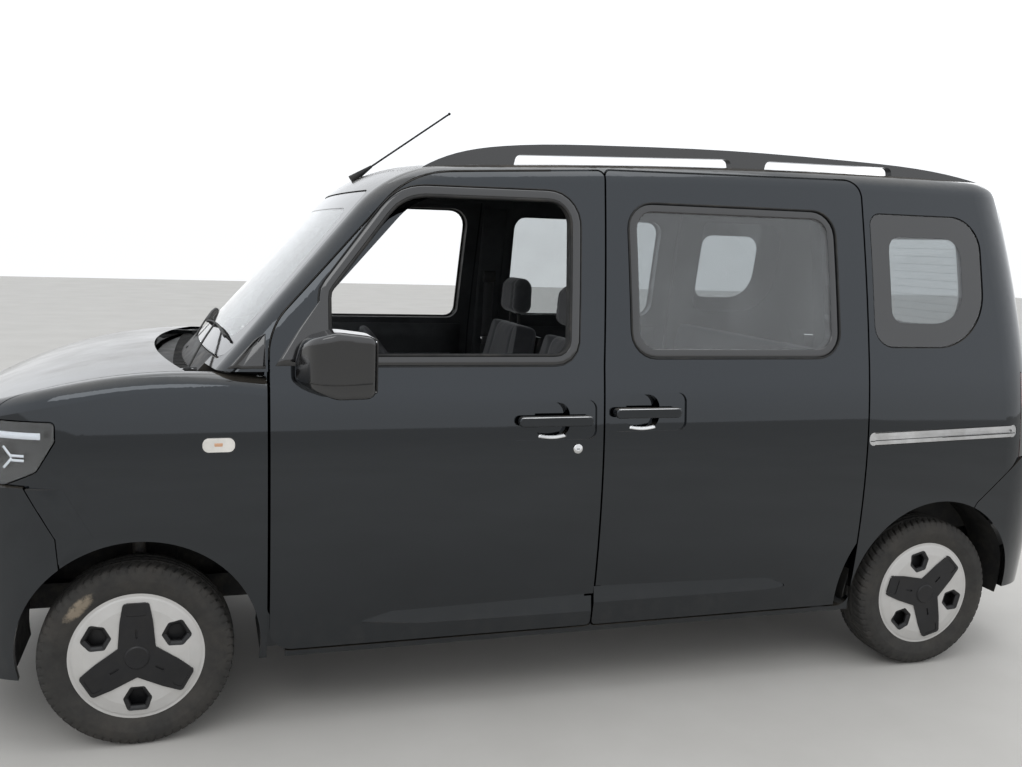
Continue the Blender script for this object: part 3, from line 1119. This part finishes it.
def overhead_details():
    """Inner mirror, sun visors, grab handles and the pad of the steering wheel."""
    roof = tree_of("roof_panel")

    def under_roof(x, y):
        return roof.ray_cast(place(x, y, 1.3), Vector((0, 0, 1)))[0]

    pieces = [
        ("inner_mirror", 0.8, 0.0, (-0.04, -0.125, -0.125), (-0.012, 0.125, -0.058), 0.012, BLACK_PLASTIC, 4),
        ("inner_mirror_face", 0.8, 0.0, (-0.0135, -0.116, -0.118), (-0.0105, 0.116, -0.065), 0.001,
         MIRROR_GLASS, 3),
        ("inner_mirror_stalk", 0.8, 0.0, (-0.032, -0.01, -0.07), (-0.014, 0.01, 0.003), 0.004,
         BLACK_PLASTIC, 3),
    ]
    for side, sign in SIDES:
        visor, handle = sign * 0.36, sign * 0.5
        pieces += [
            (f"sun_visor_{side}", 0.86, visor, (-0.085, -0.19, -0.028), (0.055, 0.19, -0.012), 0.007,
             HEADLINER, 3),
            (f"sun_visor_hinge_{side}", 0.86, visor, (-0.07, -0.196, -0.02), (-0.05, 0.196, 0.004), 0.004,
             BLACK_PLASTIC, 3),
            (f"grab_handle_{side}", 1.7, handle, (-0.12, -0.01, -0.04), (0.12, 0.01, 0.002), 0.01,
             BLACK_PLASTIC, 3),
        ]
    for name, x, y, first, second, radius, material, segments in pieces:
        soft_box(name, first, second, radius, material, segments=segments, origin=under_roof(x, y))
    lean = Matrix.Rotation(math.radians(-33), 3, "Y")
    soft_box("wheel_pad", (0, 0, 0), (0.03, 0.15, 0.12), 0.014, DASH_PLASTIC, "steering_wheel", 4,
             turn=lean, origin=place(0.811, -0.37, 1.07) + lean @ Vector((0.01, -0.075, -0.06)))


def cabin_finish():
    """Trim, headliner and carpet tones on the cabin faces of the carried-over solids."""
    for name in ("body_sides", "sliding_doors", "front_door_left", "front_door_right"):
        repaint(name, TRIM_GREY, lambda centre, normal: normal.y * centre.y < 0 and abs(normal.y) > 0.35
                and abs(centre.y) < wall_y(min(max(centre.z, 0.25), 1.9)) - 0.035)
    repaint("roof_panel", HEADLINER, lambda centre, normal: normal.z < -0.4)
    repaint("tailgate", TRIM_GREY, lambda centre, normal: normal.x < -0.4)
    repaint("underbody", CARPET, lambda centre, normal: normal.z > 0.6 and centre.x > -1.0)
    repaint("bulkhead", TRIM_GREY, lambda centre, normal: normal.x > 0.4)


# Build-up
for which, way in SIDES:
    for dress in (window_trim, pillar_plates, mirror_details, door_locks, headlamp_details, repeater_details,
                  door_trim, door_seal, fender_fairing):
        dress(which, way)
arch_panels()
corner_fillers()
rear_wiper()
window_reveals()
screen_borders()
for axle in ("front", "rear"):
    for which, way in SIDES:
        cover_finish(axle, which, way)
        tyre_mesh(f"tyre_{axle}_{which}", f"wheel_{axle}_{which}")
wipers()
body_details()
seats()
dashboard_details()
overhead_details()
cabin_finish()

# Stage
FLOOR_SIZE = 60
bpy.ops.mesh.primitive_plane_add(size=FLOOR_SIZE, location=(0, 0, 0))
floor = bpy.context.object
floor.name = "studio_floor"
concrete = Look("studio_floor")
tone = concrete.ramp(concrete.noise(1.4, 8.0, 0.6), (0.3, (0.44, 0.425, 0.4)), (0.7, (0.49, 0.475, 0.45)))
concrete.put(Base_Color=tone, Roughness=0.8)
floor.data.materials.append(concrete.material)

world = bpy.data.worlds.new("studio")
scene.world = world
world.use_nodes = True
sky = Tree(world.node_tree)
light = sky.ramp(sky.part("Z", "TexCoord", "Generated"), (0.0, (0.8, 0.81, 0.82)), (0.12, (0.9, 0.92, 0.95)),
                 (1.0, (0.94, 0.97, 1.0)))
sky.fill(world.node_tree.nodes["Background"], {"Color": light, "Strength": 1.25})


def area_light(name, location, size, energy):
    """A soft rectangular light aimed at the car."""
    data = bpy.data.lights.new(name, "AREA")
    data.shape = "RECTANGLE"
    data.size, data.size_y = size
    data.energy = energy
    made = bpy.data.objects.new(name, data)
    scene.collection.objects.link(made)
    made.location = location
    aim = Vector((0, 0, 0.8)) - Vector(location)
    made.rotation_euler = aim.to_track_quat("-Z", "Y").to_euler()


area_light("key", (-3.5, -6.0, 6.5), (6.0, 3.0), 110)
area_light("top", (1.0, 0.5, 7.0), (8.0, 4.0), 110)
area_light("rear_fill", (6.5, 4.0, 4.0), (4.0, 3.0), 60)

# Camera, as solved from the photo
LENS = 35.727
YAW, PITCH, ROLL = 0.296912, 0.13893, 0.0338478
STANDPOINT = (-1.18997, -3.85274, 1.54529)
camera_data = bpy.data.cameras.new("camera")
camera = bpy.data.objects.new("camera", camera_data)
scene.collection.objects.link(camera)
scene.camera = camera
camera_data.sensor_width = 36
camera_data.lens = LENS
camera_data.clip_start, camera_data.clip_end = 0.05, 200
forward = Vector((math.sin(YAW) * math.cos(PITCH), math.cos(YAW) * math.cos(PITCH), -math.sin(PITCH)))
level = Vector((math.cos(YAW), -math.sin(YAW), 0))
upward = level.cross(forward)
right = level * math.cos(ROLL) + upward * math.sin(ROLL)
above = upward * math.cos(ROLL) - level * math.sin(ROLL)
turn = Matrix((right, above, -forward)).transposed().to_4x4()
camera.matrix_world = Matrix.Translation(STANDPOINT) @ turn

scene.view_settings.view_transform = "Standard"
